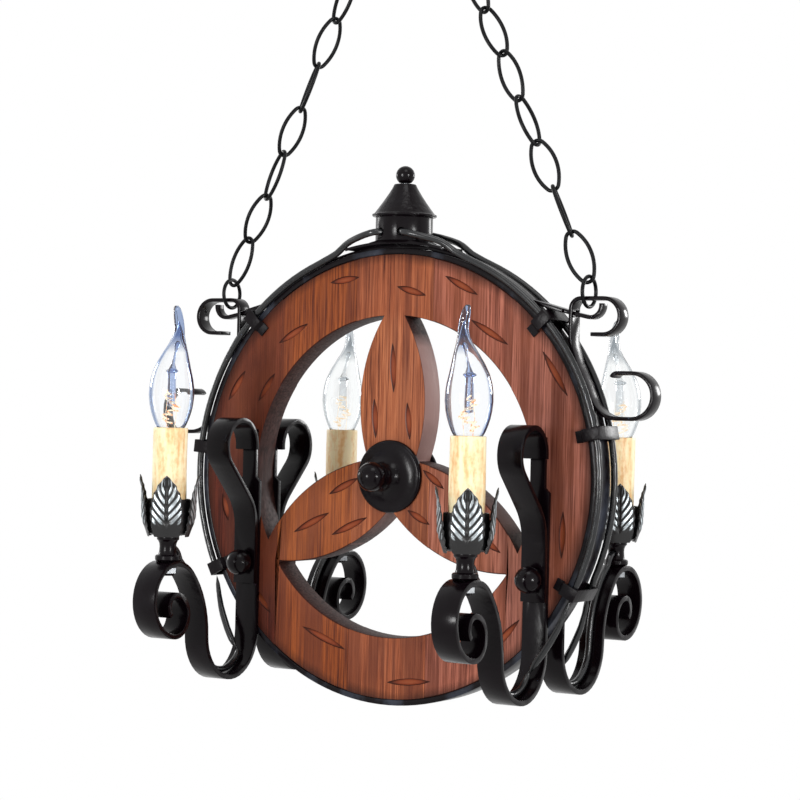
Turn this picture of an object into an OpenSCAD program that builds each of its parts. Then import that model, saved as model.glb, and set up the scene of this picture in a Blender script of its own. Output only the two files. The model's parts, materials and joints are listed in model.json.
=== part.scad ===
// Wagon wheel chandelier: a carved wooden wheel in an iron tyre, hung on two
// chains, with four forged arms that carry candle lamps in leaf cups.
// Millimetres, +Z up, +Y towards the back. The origin is the top of the eye of
// the hanging ring, where a ceiling hook carries the lamp.

/* [Wheel] */
// Diameter of the wooden wheel
wheel_d = 348; // [330:1:370]
// Thickness of the wood
wheel_t = 24; // [20:1:30]
// Width of the wooden rim, from its edge to the openings
rim_w = 48; // [42:1:54]
// Width of a leaf-shaped spoke at its widest
spoke_w = 59; // [50:1:66]
// Distance from the wheel's centre to a spoke's widest place
spoke_mid = 57; // [50:1:64]
// Radius of a spoke's long curved edges
spoke_edge_r = 128; // [115:1:140]
// Width of one of the glued boards
board_w = 70; // [66:1:76]

/* [Iron tyre] */
// Thickness of the tyre
tyre_t = 4.5; // [3:0.5:6]
// Gap between the wood and the tyre shrunk on it
tyre_gap = 0.1; // [0:0.05:0.3]

/* [Hub] */
// Diameter of the hub plates
hub_d = 57; // [46:1:60]
// Height of the bell on a hub plate
hub_h = 18; // [14:1:24]
// Diameter of the round knobs on the hub
knob_d = 23; // [18:1:26]
// Diameter of the hub bolt
hub_bolt_d = 8; // [6:0.5:9]

/* [Arms] */
// Distance of each arm from the middle of the wheel
arm_x = 131; // [126:1:136]
// Width of the flat bar
bar_w = 20; // [16:1:24]
// Thickness of the flat bar
bar_t = 4; // [3:0.5:5]
// Distance of the candles from the middle plane of the wheel
candle_y = 124; // [118:1:130]
// Height of the candle seat, measured from the wheel's centre
seat_z = -68; // [-74:1:-64]
// Outer radius of the scroll under a candle
seat_scroll_r = 30; // [27:1:32]
// Depth of the middle of the bottom bend below the wheel's centre
bend_z = 128; // [124:1:134]
// Height of the ball bolts below the wheel's centre
bolt_z = 73; // [66:1:80]
// Diameter of the ball bolts' shanks
bolt_d = 6; // [5:0.5:8]
// Diameter of the balls on the bolts
ball_d = 20.5; // [16:0.5:22]
// Outer radius of the scroll at the top of an arm
top_scroll_r = 22.5; // [18:0.5:26]
// Height of the middle of that scroll above the wheel's centre
top_scroll_z = 20.5; // [14:0.5:26]
// Width of the tongue at the top of an arm
tongue_w = 12; // [10:1:16]

/* [Candle lamps] */
// Outer diameter of a candle sleeve
sleeve_d = 27; // [24:0.5:29]
// Wall of a candle sleeve
sleeve_wall = 1.5; // [1:0.1:2]
// Height of a candle sleeve
sleeve_h = 79; // [70:1:90]
// Height of the turned spindle under a cup
spindle_h = 20; // [16:1:26]
// Height of a leaf cup
cup_h = 46; // [40:1:52]
// Outer radius of the cup's bowl
bowl_r = 16.8; // [16.6:0.2:18]
// Radius across the leaves at their fullest
leaf_r = 21.5; // [20.5:0.5:23]
// Diameter of a bulb at its widest
bulb_d = 35; // [30:1:40]
// Height of the bulb glass above the sleeve
bulb_h = 94; // [85:1:105]
// Diameter of the bulb's screw cap
cap_screw_d = 13.5; // [12:0.1:14]

/* [Straps] */
// Width of the hanging straps
strap_w = 14; // [12:1:15]
// Thickness of the hanging straps
strap_t = 3; // [2:0.5:4]
// Width of the crown strap's ends, where they pass the side straps
strap_end_w = 8; // [6:1:9]

/* [Cables] */
// Diameter of a cable
cable_d = 5.5; // [5:0.25:6.5]

/* [Canister] */
// Outer diameter of the canister on top of the rim
can_d = 45; // [42:1:50]
// Height of the canister's wall
can_h = 19; // [16:1:26]
// Wall of the canister
can_wall = 2; // [1.5:0.5:3]
// Diameter of the lid's brim
lid_d = 51; // [50:1:60]
// Height of the lid
lid_h = 26; // [20:1:32]
// Diameter of the finial ball
finial_d = 15; // [13:1:18]

/* [Chains] */
// Thickness of the chain wire
wire_d = 3; // [2.5:0.25:3.5]
// Outer width of a link
link_w = 22; // [20:1:26]
// Distance from one link to the next
link_pitch = 38.3; // [36:0.1:42]
// Links in each chain
link_count = 10; // [8:1:14]
// Distance of each hook from the middle of the wheel
hook_x = 163; // [162:1:166]
// Height of the flat of the hooks above the wheel's centre
hook_z = 139; // [138:1:146]
// Inner diameter of the hanging ring
eye_d = 28; // [26:1:40]
// Thickness of the hanging ring's wire
eye_wire_d = 5; // [4:0.5:6]

/* [Hidden] */
$fn = 48;
eps = 0.01;
fit = 0.3; // clearance between pieces that move or slip together
wheel_r = wheel_d / 2;
opening_r = wheel_r - rim_w;
tyre_r = wheel_r + tyre_gap + tyre_t; // outside of the tyre
tyre_w = wheel_t; // its edges are flush with the wood
face_y = -wheel_t / 2; // front face of the wood

// Chain and hanging ring: the chains run straight from the ring to the hooks
hook_ring_r = 10; // inner radius, round the strap
link_fit = 1.2; // clearance between a chain's last link and its hook ring
strap_corner = sqrt(pow(hook_ring_r - fit, 2) - pow(strap_w / 2, 2));
hook_ring_z = hook_z - strap_t / 2 + strap_corner; // the strap's lower corners rest in it
eye_r = eye_d / 2 + eye_wire_d / 2; // middle of the hanging ring's wire
link_len = link_pitch + wire_d + fit; // between the middles of a link's two bows
first_bow = eye_r - eye_wire_d / 2 - wire_d / 2 - fit; // from the ring's middle
last_bow_z = hook_ring_z + hook_ring_r - wire_d / 2 - link_fit;
chain_len = first_bow + link_count * link_pitch + wire_d + fit;
chain_lean = asin(hook_x / chain_len);
eye_z = last_bow_z + chain_len * cos(chain_lean); // the ring's middle, from the wheel's
drop = eye_z + eye_d / 2; // from the origin down to the wheel's centre

// Arm: its middle line is in a plane x = constant, as points [y, z]
arm_y = face_y - bar_t / 2; // middle of the bar that lies on the wood
scroll_y = arm_y - bar_t; // middle of the bar that lies on the arm
seat_r = seat_scroll_r - bar_t / 2;
seat_mid = [-candle_y, seat_z - seat_scroll_r];
inner_r = 16; // second turn of the seat scroll
inner_mid = [-candle_y, seat_mid[1] - seat_r + inner_r];
core_r = 9; // last turn of the seat scroll
core_mid = [-candle_y, inner_mid[1] + inner_r - core_r];
leg_turn = 46; // angle at which the leg runs into the seat scroll
leg_r = seat_r + (seat_mid[1] + bend_z) / sin(leg_turn);
leg_mid = [seat_mid[0] - (leg_r - seat_r) * cos(leg_turn), -bend_z];
bend_r = (arm_y - leg_mid[0] - leg_r) / 2;
bend_mid = [arm_y - bend_r, -bend_z];
tongue_z = 34; // top of the tongue
tongue_from = -24; // where the bar starts to narrow to the tongue
top_r = top_scroll_r - bar_t / 2;
top_mid = [scroll_y - top_r - 1, top_scroll_z];
scroll_foot = bolt_z + 17; // how far below the wheel's centre the scroll's foot ends
lean = 45; // lean of the scroll where it leaves the arm

// Candle: heights above the seat
cup_floor = 3;
holder_d = sleeve_d - 2 * sleeve_wall - 2;
holder_h = sleeve_h - 7;
sleeve_from = spindle_h + cup_floor + fit;
sleeve_top = sleeve_from + sleeve_h;
screw_from = sleeve_top - 31; // bottom of the bulb's screw cap
screw_h = 23;
tail_d = 10; // threaded tail of a spindle
tail_bore = 6;
entry_z = 9.6; // height at which a cable enters the side of a spindle
bulb_wall = 0.8;

// Straps: middle lines in the plane y = 0, as points [x, z]
strap_r = tyre_r + strap_t / 2 + 0.15; // where a strap lies on the tyre
rise_x = tyre_r - 27.6; // where a side strap rises
flat_end = rise_x + 27; // end of the hooks' flat tops
pass_z = 0.709 * strap_r; // height at which the crown strap passes the side strap

// Canister: heights above the wheel's centre
saddle_t = 2;
saddle_r = strap_r + strap_t / 2 + 0.15; // inside of the saddle, over the crown strap
saddle_half = 42;
can_z = saddle_r + saddle_t + 0.6; // underside of the canister
lid_z = can_z + can_h;
cable_y = tyre_w / 2 + 1; // the cables run by the tyre's two edges
cable_r = tyre_r + cable_d / 2 + 0.1;

// ---- helpers ----

function arc(mid, r, from, to, step = 9) =
    let (n = ceil(abs(to - from) / step))
    [for (i = [0:n]) mid + r * [cos(from + (to - from) * i / n), sin(from + (to - from) * i / n)]];

// Joins runs of points, leaving out each point that repeats the last
function joined(runs) =
    let (all = [for (run = runs) each run])
    [for (i = [0:len(all) - 1]) if (i == 0 || norm(all[i] - all[i - 1]) > 0.05) all[i]];

function way(points, i) =
    let (d = points[min(i + 1, len(points) - 1)] - points[max(i - 1, 0)])
    d / norm(d);

// Closed outline of a band of thickness t along the points
function band(points, t) =
    let (side = [for (i = [0:len(points) - 1]) let (d = way(points, i)) [-d[1], d[0]] * t / 2])
    concat(
        [for (i = [0:len(points) - 1]) points[i] + side[i]],
        [for (i = [len(points) - 1:-1:0]) points[i] - side[i]]);

module bar_yz(points, t, w)
    rotate([90, 0, 90]) linear_extrude(w, center = true) polygon(band(points, t));

module bar_xz(points, t, w)
    rotate([90, 0, 0]) linear_extrude(w, center = true) polygon(band(points, t));

module flip(axis, on) {
    if (on) mirror(axis) children();
    else children();
}

// Moves what is drawn about the wheel's centre to its place under the ring
module at_wheel() translate([0, 0, -drop]) children();

// Turns what is drawn for the front right arm into another corner's
module corner(left, back)
    at_wheel() flip([1, 0, 0], left) flip([0, 1, 0], back) children();

module all_corners()
    for (left = [false, true], back = [false, true]) corner(left, back) children();

module at_candle() translate([arm_x, -candle_y, seat_z]) children();

// A tube along points, as one closed skin
module tube(points, d, sides = 10) {
    n = len(points);
    frames = [for (i = [0:n - 1]) let (w = way(points, i), u = cross(w, [0.31, 0.2, 0.93])) [w, u / norm(u)]];
    skin = [for (i = [0:n - 1], k = [0:sides - 1])
        let (u = frames[i][1], v = cross(frames[i][0], u), a = 360 * k / sides)
        points[i] + (u * cos(a) + v * sin(a)) * d / 2];
    walls = [for (i = [0:n - 2], k = [0:sides - 1])
        let (a = i * sides + k, b = i * sides + (k + 1) % sides)
        each [[a, a + sides, b], [b, a + sides, b + sides]]];
    ends = [
        [for (k = [0:sides - 1]) k],
        [for (k = [sides - 1:-1:0]) (n - 1) * sides + k]];
    polyhedron(points = skin, faces = concat(walls, ends));
}

// ---- wheel ----

// The wheel's outline is drawn flat, as the saw cuts it
module spoke_edge(side)
    translate([side * (spoke_edge_r - spoke_w / 2), spoke_mid]) circle(r = spoke_edge_r, $fn = 96);

module spoke()
    intersection() {
        spoke_edge(-1);
        spoke_edge(1);
        translate([-wheel_r, 0]) square([wheel_d, opening_r + rim_w / 2]);
    }

module wheel_outline()
    difference() {
        union() {
            difference() {
                circle(r = wheel_r, $fn = 128);
                circle(r = opening_r, $fn = 128);
            }
            for (turn = [0, 120, 240]) rotate(turn) spoke();
        }
        circle(d = hub_bolt_d + fit);
        for (side = [-1, 1]) translate([side * arm_x, -bolt_z]) circle(d = bolt_d + fit);
    }

// One glued board of the wheel: place counts boards from the middle one
module board(place, shade)
    color(shade) at_wheel() rotate([90, 0, 0]) linear_extrude(wheel_t, center = true)
        intersection() {
            wheel_outline();
            translate([(place - 0.5) * board_w, -wheel_r - 1])
                square([abs(place) > 1 ? 2 * board_w : board_w, wheel_d + 2]);
        }

module board_outer_left() mirror([1, 0, 0]) board(2, "sienna");
module board_left() board(-1, "peru");
module board_centre() board(0, "sienna");
module board_right() board(1, "peru");
module board_outer_right() board(2, "sienna");

module tyre()
    color("dimgray") at_wheel() rotate([90, 0, 0]) difference() {
        cylinder(h = tyre_w, r = tyre_r, center = true, $fn = 128);
        cylinder(h = tyre_w + 2, r = wheel_r + tyre_gap, center = true, $fn = 128);
    }

// ---- hub ----

// Bell-shaped plate that stands on the wood, pointing along +Z
module hub_plate() {
    r = hub_d / 2;
    foot = 4;
    neck_r = hub_bolt_d / 2 + 3.5;
    rotate_extrude($fn = 72) polygon(concat(
        [[hub_bolt_d / 2 + fit / 2, 0], [r, 0], [r, foot - 1.5], [r - 1.5, foot]],
        [for (k = [0:8]) let (a = 90 * k / 8)
            [neck_r + (r - 4 - neck_r) * (1 - sin(a)), foot + (hub_h - foot) * (1 - cos(a))]],
        [[hub_bolt_d / 2 + fit / 2, hub_h]]));
}

module hub_plate_front()
    color("black") at_wheel() translate([0, face_y, 0]) rotate([90, 0, 0]) hub_plate();

module hub_plate_back()
    color("black") at_wheel() translate([0, -face_y, 0]) rotate([-90, 0, 0]) hub_plate();

knob_flat = 1.5; // the knobs are cut flat to sit on the hub plates
knob_mid = wheel_t / 2 + hub_h + knob_d / 2 - knob_flat;

// A ball with a flat of the given depth, standing on the flat's side along +Z
module flat_ball(d, flat)
    intersection() {
        sphere(d = d, $fn = 48);
        translate([0, 0, d / 2 + flat]) cube(2 * d, center = true);
    }

// The bolt's front end is a knob, and its thread reaches into the nut behind
module hub_bolt()
    color("black") at_wheel() rotate([90, 0, 0]) {
        translate([0, 0, knob_mid]) flat_ball(knob_d, knob_flat);
        translate([0, 0, 3 - knob_mid]) cylinder(h = 2 * knob_mid - 6, d = hub_bolt_d);
    }

module hub_nut()
    color("black") at_wheel() rotate([-90, 0, 0]) difference() {
        translate([0, 0, knob_mid]) flat_ball(knob_d, knob_flat);
        translate([0, 0, knob_mid - knob_d]) cylinder(h = knob_d, d = hub_bolt_d + fit);
    }

// ---- arms ----

arm_line = joined([
    [[arm_y, tongue_z], [arm_y, -bend_z]],
    arc(bend_mid, bend_r, 0, -180),
    arc(leg_mid, leg_r, 0, leg_turn, 6),
    arc(seat_mid, seat_r, leg_turn, 270),
    arc(inner_mid, inner_r, 270, 450),
    arc(core_mid, core_r, 450, 590, 12)]);

module arm_bar()
    difference() {
        translate([arm_x, 0, 0]) bar_yz(arm_line, bar_t, bar_w);
        for (side = [-1, 1]) translate([arm_x, arm_y, tongue_from + bar_w])
            rotate([90, 0, 0]) linear_extrude(2 * bar_t, center = true)
                polygon([[side * tongue_w / 2, 0], [side * tongue_w / 2, 2 * bar_w],
                    [side * bar_w, 2 * bar_w], [side * bar_w, tongue_w / 2 - bar_w]]);
        translate([arm_x, arm_y, -bolt_z]) rotate([90, 0, 0])
            cylinder(h = 2 * bar_t, d = bolt_d + fit, center = true);
        at_candle() cylinder(h = 3 * bar_t, d = tail_d + fit, center = true);
    }

scroll_start = top_mid + top_r * [cos(180 + lean), sin(180 + lean)];
scroll_bend_r = 38;
scroll_run = scroll_y - scroll_start[0] - scroll_bend_r * (1 - cos(lean));
scroll_bend_z = scroll_start[1] - scroll_run - scroll_bend_r * sin(lean);
scroll_line = joined([
    [[scroll_y, -scroll_foot]],
    arc([scroll_y - scroll_bend_r, scroll_bend_z], scroll_bend_r, 0, lean),
    arc(top_mid, top_r, 180 + lean, -8)]);

module scroll_bar()
    difference() {
        translate([arm_x, 0, 0]) bar_yz(scroll_line, bar_t, bar_w);
        translate([arm_x, scroll_y, -bolt_z]) rotate([90, 0, 0])
            cylinder(h = 2 * bar_t, d = bolt_d + fit, center = true);
    }

module arm_front_left() color("black") corner(true, false) arm_bar();
module arm_front_right() color("black") corner(false, false) arm_bar();
module arm_back_left() color("black") corner(true, true) arm_bar();
module arm_back_right() color("black") corner(false, true) arm_bar();
module scroll_front_left() color("black") corner(true, false) scroll_bar();
module scroll_front_right() color("black") corner(false, false) scroll_bar();
module scroll_back_left() color("black") corner(true, true) scroll_bar();
module scroll_back_right() color("black") corner(false, true) scroll_bar();

ball_cut = 3; // depth of the flat that seats a ball on the bars
ball_mid = wheel_t / 2 + 2 * bar_t + ball_d / 2 - ball_cut;

module ball_bolts()
    color("black") at_wheel() for (side = [-1, 1])
        translate([side * arm_x, 0, -bolt_z]) rotate([90, 0, 0]) {
            translate([0, 0, ball_mid]) flat_ball(ball_d, ball_cut);
            translate([0, 0, -ball_mid + 2]) cylinder(h = 2 * ball_mid - 2, d = bolt_d);
        }

module ball_nuts()
    color("black") at_wheel() for (side = [-1, 1])
        translate([side * arm_x, 0, -bolt_z]) rotate([-90, 0, 0]) difference() {
            translate([0, 0, ball_mid]) flat_ball(ball_d, ball_cut);
            cylinder(h = ball_mid, d = bolt_d + fit);
        }

// ---- candle lamps ----

nut_h = 4;
nut_d = 16; // across its corners
under_r = seat_scroll_r - bar_t; // the nuts clear the bar's curve under the seat
nut_drop = bar_t + under_r - sqrt(pow(under_r, 2) - pow(nut_d / 2, 2)) + 0.1;

module spindles()
    color("black") all_corners() at_candle() difference() {
        union() {
            rotate_extrude() polygon([
                [0, 0], [9, 0], [9.7, 1], [9.7, 3.4], [9, 4.4], [7.4, 4.8], [6.7, 7],
                [6.4, spindle_h / 2 + 1], [6.7, spindle_h - 6.5], [7.6, spindle_h - 4.5],
                [8.6, spindle_h - 3.6], [8.6, spindle_h], [0, spindle_h]]);
            translate([0, 0, -nut_drop - nut_h - 2])
                cylinder(h = spindle_h + cup_floor + nut_drop + nut_h + 5, d = tail_d);
        }
        translate([0, 0, -spindle_h]) cylinder(h = 4 * spindle_h, d = tail_bore);
        translate([0, 0, entry_z]) rotate([-90, 0, 0]) cylinder(h = 20, d = cable_d + 1);
    }

module spindle_nuts()
    color("black") all_corners() at_candle() translate([0, 0, -nut_drop - nut_h])
        difference() {
            cylinder(h = nut_h, d = nut_d, $fn = 6);
            translate([0, 0, -1]) cylinder(h = nut_h + 2, d = tail_d + fit);
        }

// Pointed outline of a leaf, as points [width, height]
leaf_outline = [
    [-10, 0], [10, 0], [12.8, 0.22 * cup_h], [13.4, 0.42 * cup_h], [11.6, 0.64 * cup_h],
    [7.4, 0.82 * cup_h], [2.8, 0.95 * cup_h], [0, cup_h], [-2.8, 0.95 * cup_h],
    [-7.4, 0.82 * cup_h], [-11.6, 0.64 * cup_h], [-13.4, 0.42 * cup_h], [-12.8, 0.22 * cup_h]];

// Upright section of a leaf, as points [radius, height]
leaf_section = [
    [bowl_r - 0.6, 0.02 * cup_h], [bowl_r + 1.4, 0.14 * cup_h], [leaf_r - 1.4, 0.34 * cup_h],
    [leaf_r - 1, 0.6 * cup_h], [leaf_r - 1.6, 0.82 * cup_h], [leaf_r - 1, cup_h + 1]];

module leaf()
    intersection() {
        rotate([0, 0, -44]) rotate_extrude(angle = 88) polygon(band(leaf_section, 2));
        rotate([90, 0, 90]) linear_extrude(2 * leaf_r) polygon(leaf_outline);
    }

leaf_turn = 31; // every cup is screwed home with a leaf towards the front right

module leaf_cup(turned)
    at_candle() translate([0, 0, spindle_h]) difference() {
        union() {
            cylinder(h = 0.62 * cup_h, r1 = bowl_r - 0.8, r2 = bowl_r);
            for (turn = [0:90:270]) rotate([0, 0, turn + turned]) leaf();
        }
        translate([0, 0, cup_floor]) cylinder(h = cup_h, d = sleeve_d + 2 * fit);
        translate([0, 0, -1]) cylinder(h = cup_floor + 2, d = tail_d + fit);
    }

module leaf_cups()
    color("darkslategray") for (left = [false, true], back = [false, true])
        corner(left, back) leaf_cup(left == back ? leaf_turn : -leaf_turn);

module lampholders()
    color("ivory") all_corners() at_candle() translate([0, 0, spindle_h + cup_floor])
        difference() {
            cylinder(h = holder_h, d = holder_d);
            translate([0, 0, -1]) cylinder(h = 6, d = tail_d + fit);
            translate([0, 0, -1]) cylinder(h = holder_h, d = tail_bore);
            translate([0, 0, screw_from - spindle_h - cup_floor - 1])
                cylinder(h = holder_h, d = cap_screw_d + 2 * fit);
        }

module sleeve()
    at_candle() translate([0, 0, sleeve_from]) difference() {
        cylinder(h = sleeve_h, d = sleeve_d);
        translate([0, 0, -1]) cylinder(h = sleeve_h + 2, d = sleeve_d - 2 * sleeve_wall);
    }

module bulb_cap()
    at_candle() translate([0, 0, screw_from]) difference() {
        union() {
            cylinder(h = screw_h, d = cap_screw_d);
            translate([0, 0, -0.9]) cylinder(h = 1, d = 5);
        }
        translate([0, 0, 2]) cylinder(h = screw_h, d = cap_screw_d - 2);
    }

glass_z = screw_from + screw_h; // underside of the glass

tip_r = bulb_d * 0.11;
tip_bend_r = 24;
tip_from = bulb_h - tip_bend_r / 2 - 1; // height at which the glass bends over
// Outside of the glass, as points [radius, height above the sleeve's top]
glass_side = [for (p = [
    [0.31, 0.006], [0.4, 0.074], [0.465, 0.173], [0.495, 0.272], [0.5, 0.358], [0.485, 0.457],
    [0.44, 0.58], [0.36, 0.716], [0.25, 0.84], [0.16, 0.926], [0.11, 1]])
    [bulb_d * p[0], tip_from * p[1]]];

module glass() {
    low = glass_z - sleeve_top;
    outside = concat([[cap_screw_d / 2, low], [cap_screw_d / 2 + 0.8, low + 3]], glass_side);
    inside = [for (i = [len(outside) - 1:-1:0]) [max(outside[i][0] - bulb_wall, 1), outside[i][1]]];
    bend = 30;
    at_candle() translate([0, 0, sleeve_top]) {
        rotate_extrude($fn = 60) polygon(concat(outside, inside));
        translate([0, 0, tip_from]) rotate([90, 0, 0]) translate([-tip_bend_r, 0, 0]) {
            rotate_extrude(angle = bend, $fn = 60) translate([tip_bend_r, 0])
                circle(r = tip_r, $fn = 24);
            rotate([0, 0, bend]) translate([tip_bend_r, 0, 0]) sphere(r = tip_r, $fn = 24);
        }
    }
}

module filament()
    at_candle() translate([0, 0, sleeve_top]) {
        translate([0, 0, screw_from + 2 + fit - sleeve_top])
            cylinder(h = screw_h + 10.5, r1 = 4.5, r2 = 2.2);
        for (side = [-1, 1]) translate([side * 1.6, 0, glass_z - sleeve_top + 12])
            cylinder(h = 34, r = 0.5, $fn = 16);
    }

module sleeve_front_left() color("wheat") corner(true, false) sleeve();
module sleeve_front_right() color("wheat") corner(false, false) sleeve();
module sleeve_back_left() color("wheat") corner(true, true) sleeve();
module sleeve_back_right() color("wheat") corner(false, true) sleeve();
module bulb_cap_front_left() color("silver") corner(true, false) bulb_cap();
module bulb_cap_front_right() color("silver") corner(false, false) bulb_cap();
module bulb_cap_back_left() color("silver") corner(true, true) bulb_cap();
module bulb_cap_back_right() color("silver") corner(false, true) bulb_cap();
module glass_front_left() color("azure") corner(true, false) glass();
module glass_front_right() color("azure") corner(false, false) glass();
module glass_back_left() color("azure") corner(true, true) glass();
module glass_back_right() color("azure") corner(false, true) glass();
module filament_front_left() color("orange") corner(true, false) filament();
module filament_front_right() color("orange") corner(false, false) filament();
module filament_back_left() color("orange") corner(true, true) filament();
module filament_back_right() color("orange") corner(false, true) filament();

// ---- cables and their clips ----

cable_from = 69; // angle at which a cable comes down on the rim
cable_to = -28; // angle at which it leaves the rim
cable_exit = [9.3, -20.3, can_z + 6.5]; // where it leaves the canister
bend_run = bend_r - bar_t / 2 - cable_d / 2 - 0.3; // on the inside of the bottom bend
leg_run = leg_r + bar_t / 2 + cable_d / 2 + 0.3; // on the leg's side towards the wheel
seat_run = seat_scroll_r + cable_d / 2 + 0.3;
cable_line = joined([
    [cable_exit + [-5.5, 11.8, 0], cable_exit, cable_exit + [3.7, -4.2, -0.4],
        [22, -24, can_z + 4], [34, -19.6, can_z + 1], [44, -15, can_z - 1.9],
        [54, -cable_y, can_z - 10.4]],
    [for (a = [cable_from:-5:cable_to])
        [cable_r * cos(a), -cable_y, cable_r * sin(a)]],
    [[arm_x + 28, -cable_y - 3, -bend_z + 36], [arm_x + 22, -cable_y - 7, -bend_z + 18],
        [arm_x + 12, -cable_y - 11, -bend_z], [arm_x + 4, -cable_y - 13, -bend_z - 11]],
    [for (a = [-34:-17:-180])
        [arm_x, bend_mid[0] + bend_run * cos(a), bend_mid[1] + bend_run * sin(a)]],
    [for (a = [0:8:leg_turn])
        [arm_x, leg_mid[0] + leg_run * cos(a), leg_mid[1] + leg_run * sin(a)]],
    [for (a = [leg_turn + 4, 62])
        [arm_x, seat_mid[0] + seat_run * cos(a), seat_mid[1] + seat_run * sin(a)]],
    [[arm_x, 13.2 - candle_y, seat_z + 5], [arm_x, 9.2 - candle_y, seat_z + entry_z - 0.3],
        [arm_x, 3 - candle_y, seat_z + entry_z]]]);

module cable() tube(cable_line, cable_d);

module cable_front_left() color("black") corner(true, false) cable();
module cable_front_right() color("black") corner(false, false) cable();
module cable_back_left() color("black") corner(true, true) cable();
module cable_back_right() color("black") corner(false, true) cable();

clip_t = 1.4;
clip_w = 10;
clip_angles = [-27, 12, 43, 137, 174, 206];

// Section of a clip through the rim, as points [radius, y] on one side
module clip_section() {
    top = cable_r + cable_d / 2 + 0.3;
    side = cable_y + cable_d / 2 + 0.3;
    lip = wheel_r - 9;
    face = wheel_t / 2 + 0.1;
    for (back = [0, 1]) mirror([0, back]) polygon([
        [top, 0], [top + clip_t, 0], [top + clip_t, side + clip_t],
        [wheel_r - 1.5, side + clip_t], [wheel_r - 3.5, face + clip_t], [lip, face + clip_t],
        [lip, face], [wheel_r - 2.5, face], [wheel_r - 0.7, side], [top, side]]);
}

module cable_clips() {
    half = clip_w / cable_r * 90 / PI;
    color("dimgray") at_wheel() for (a = clip_angles)
        rotate([90, 0, 0]) rotate([0, 0, a - half])
            rotate_extrude(angle = 2 * half) clip_section();
}

// ---- straps and hooks ----

rise_turn = 33; // angle at which a side strap leaves the rim upwards
drop_right = 21; // angle at which the right one leaves it downwards
drop_left = 15.5;
drop_r = 24;

function drop_low(turn) =
    strap_r * [cos(turn), sin(turn)] + drop_r * [cos(turn), -(1 - sin(turn))];

function side_line(turn) = joined([
    [[flat_end - 10, hook_z - 27], [flat_end, hook_z - 27]],
    arc([flat_end, hook_z - 13.5], 13.5, -90, 90),
    [[flat_end, hook_z], [rise_x + 8, hook_z]],
    arc([rise_x + 8, hook_z - 8], 8, 90, 180),
    arc([rise_x + 30, strap_r * sin(rise_turn) + 12], 30, 180, 196, 8),
    arc([0, 0], strap_r, rise_turn - 3, turn, 3),
    arc(drop_low(turn) + [0, drop_r], drop_r, 180 + turn, 270),
    arc(drop_low(turn) + [12, 17], 17, 270, 450),
    [drop_low(turn) + [2, 34]],
    arc(drop_low(turn) + [0, 29], 5, 90, 160)]);

module side_strap(turn)
    difference() {
        bar_xz(side_line(turn), strap_t, strap_w);
        translate([rise_x, 0, pass_z])
            cube([4 * strap_t, strap_end_w + 1, strap_t + 1.2], center = true);
    }

module side_strap_left() color("black") at_wheel() mirror([1, 0, 0]) side_strap(drop_left);
module side_strap_right() color("black") at_wheel() side_strap(drop_right);

crown_turn = 50; // angle at which the crown strap leaves the rim
crown_fall = 12; // its slope from there, over the nearest clip, to the side strap
crown_bend = 8;
crown_foot = (strap_r + crown_bend) * [cos(crown_turn), sin(crown_turn)];
crown_half = joined([
    arc([0, 0], strap_r, 90, crown_turn, 3),
    arc(crown_foot, crown_bend, 180 + crown_turn, 270 - crown_fall),
    [[rise_x, pass_z]],
    arc([rise_x + 15, pass_z + 6], 9, 270 - crown_fall, 360),
    [[rise_x + 24, pass_z + 7.5]]]);
crown_wide = rise_x - 7; // how far out the crown strap keeps its full width

module crown_strap()
    color("black") at_wheel() for (left = [false, true]) flip([1, 0, 0], left)
        intersection() {
            bar_xz(crown_half, strap_t, strap_w);
            union() {
                translate([0, -strap_w, 0]) cube([crown_wide, 2 * strap_w, wheel_d]);
                translate([0, -strap_end_w / 2, 0]) cube([wheel_d, strap_end_w, wheel_d]);
            }
        }

// ---- canister on top of the rim ----

module saddle() {
    lip_w = 12;
    lip_x = 32;
    lip_y = wheel_t / 2 + 0.1;
    color("black") at_wheel() difference() {
        union() {
            intersection() {
                union() {
                    rotate([90, 0, 0])
                        cylinder(h = 2 * cable_y + 7, r = saddle_r + saddle_t, center = true, $fn = 128);
                    translate([0, 0, saddle_r - 6])
                        cylinder(h = can_z - saddle_r + 6 - eps, r1 = saddle_half - 1, r2 = can_d / 2);
                }
                translate([-saddle_half, -cable_y - 3.5, saddle_r - 14])
                    cube([2 * saddle_half, 2 * cable_y + 7, 40]);
            }
            for (x = [-1, 1], y = [-1, 1])
                translate([x * (lip_x + lip_w / 2), y * (cable_y + 2.8), wheel_r - 2])
                    cube([lip_w, 1.4, 14], center = true);
            for (x = [-1, 1], y = [-1, 1])
                translate([x * (lip_x + lip_w / 2), y * (lip_y + 1.4), wheel_r - 7])
                    cube([lip_w, 2.8, 5], center = true);
        }
        rotate([90, 0, 0]) cylinder(h = wheel_d, r = saddle_r, center = true, $fn = 128);
        translate([0, 0, saddle_r - 20]) cylinder(h = 60, d = 12);
    }
}

module canister()
    color("black") at_wheel() difference() {
        translate([0, 0, can_z]) cylinder(h = can_h, d = can_d);
        translate([0, 0, can_z + can_wall]) cylinder(h = can_h, d = can_d - 2 * can_wall);
        translate([0, 0, can_z - 1]) cylinder(h = can_h, d = 5 + fit);
        for (left = [false, true], back = [false, true])
            flip([1, 0, 0], left) flip([0, 1, 0], back)
                translate(cable_exit) rotate([0, 90, -64])
                    cylinder(h = 10, d = cable_d + 1, center = true);
    }

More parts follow.
